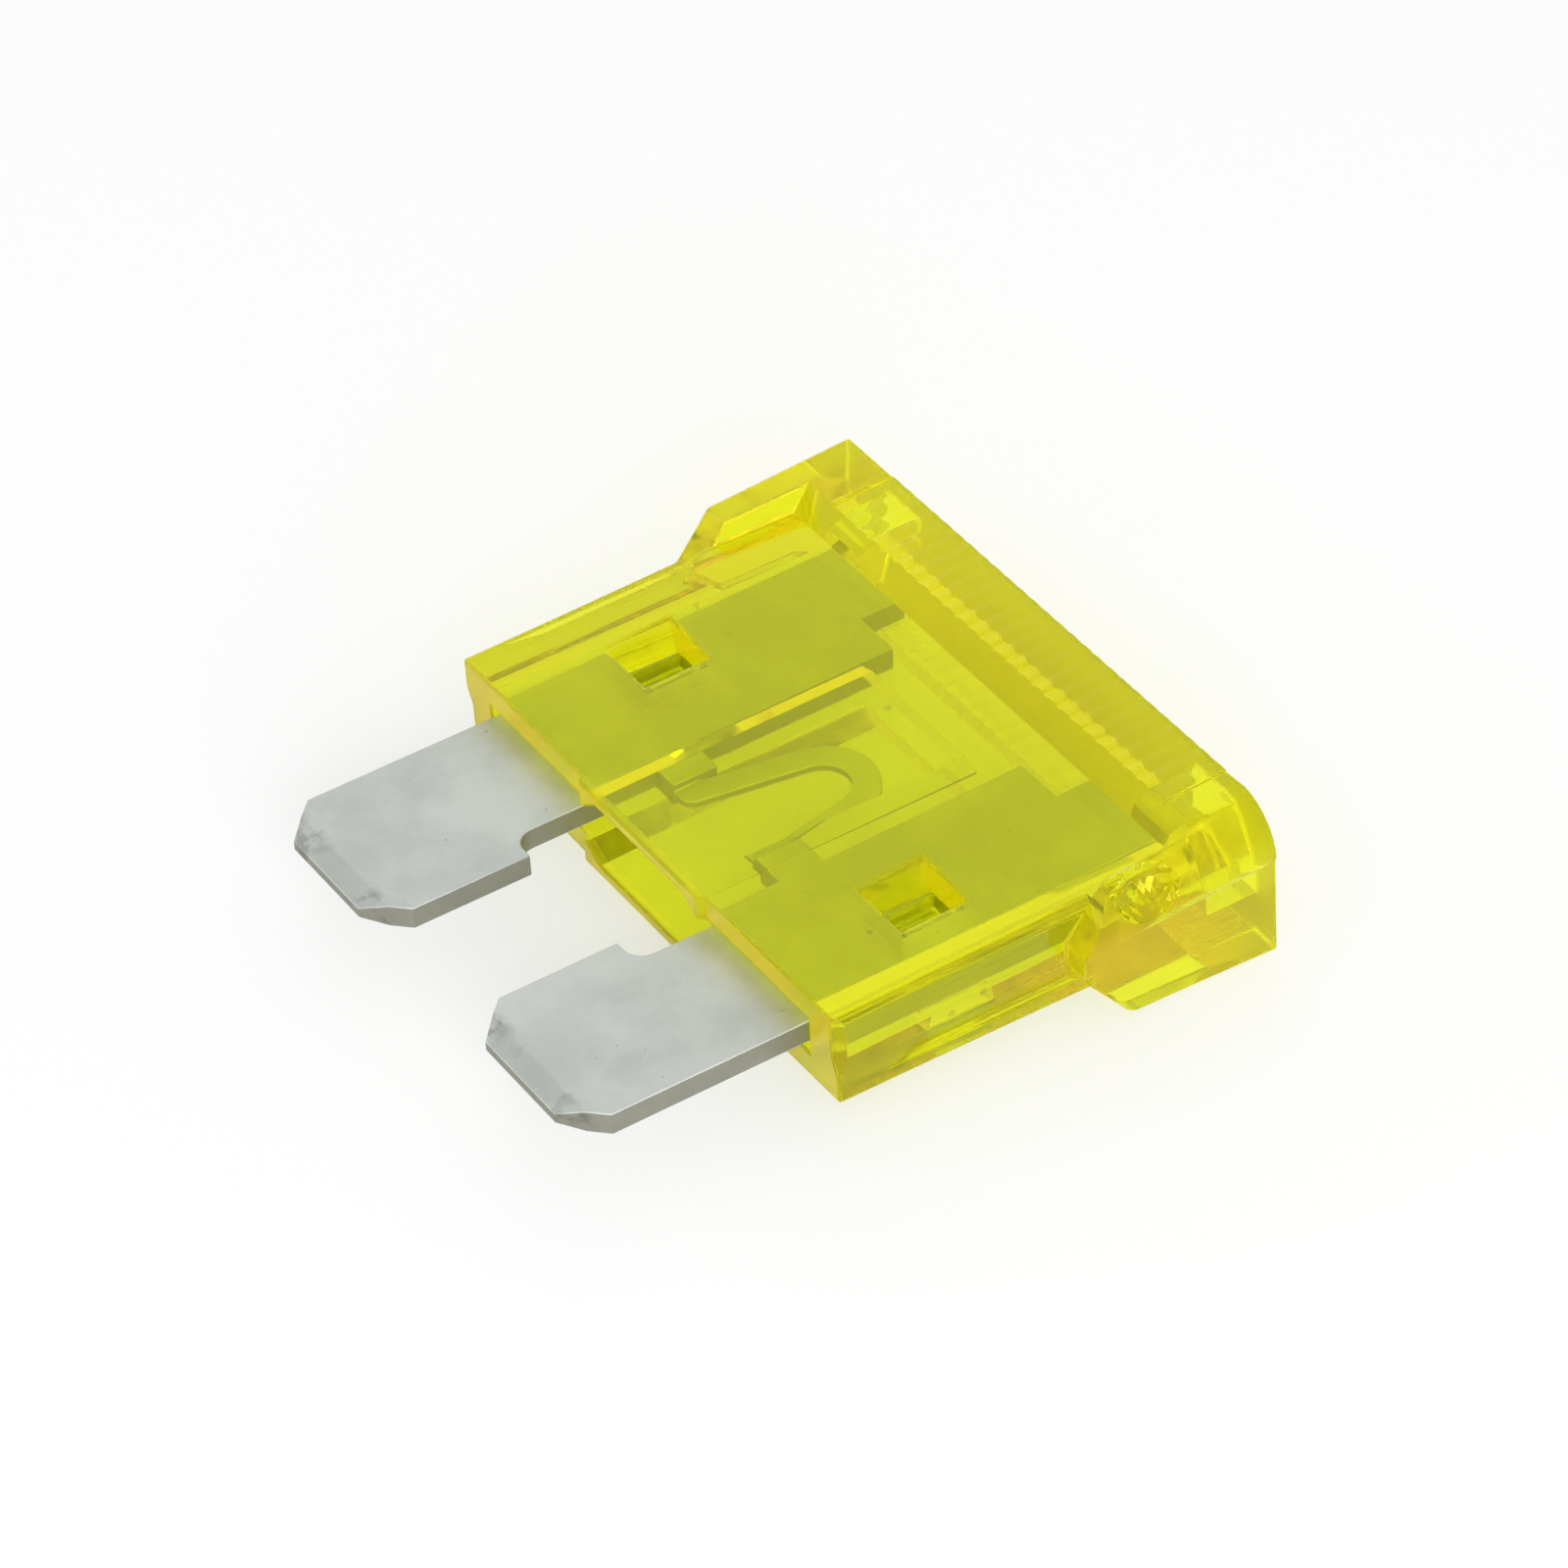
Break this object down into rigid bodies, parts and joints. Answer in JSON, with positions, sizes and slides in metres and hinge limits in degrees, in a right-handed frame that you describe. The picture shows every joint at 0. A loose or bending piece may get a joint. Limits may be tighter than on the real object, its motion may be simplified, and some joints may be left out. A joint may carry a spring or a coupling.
{
  "type": "blade fuse",
  "caption": "Plug-in blade fuse: a clear yellow moulded housing around a stamped metal strip with flat blades and a thin arched fusible link.",
  "frame": {"origin": "on the ground under the middle of the fuse as it lies flat, halfway along its length and width", "axes": "+X across the blades, +Y from the blade tips to the grip end of the head, +Z through the thickness"},
  "size_m": [0.019, 0.0188, 0.0044],
  "materials": {
    "clear_yellow_plastic": "clear tinted, smooth",
    "zinc": "rolled and stamped, dull"
  },
  "bodies": {
    "root": {"housing": "clear_yellow_plastic", "fuse_element": "zinc"}
  },
  "joints": []
}
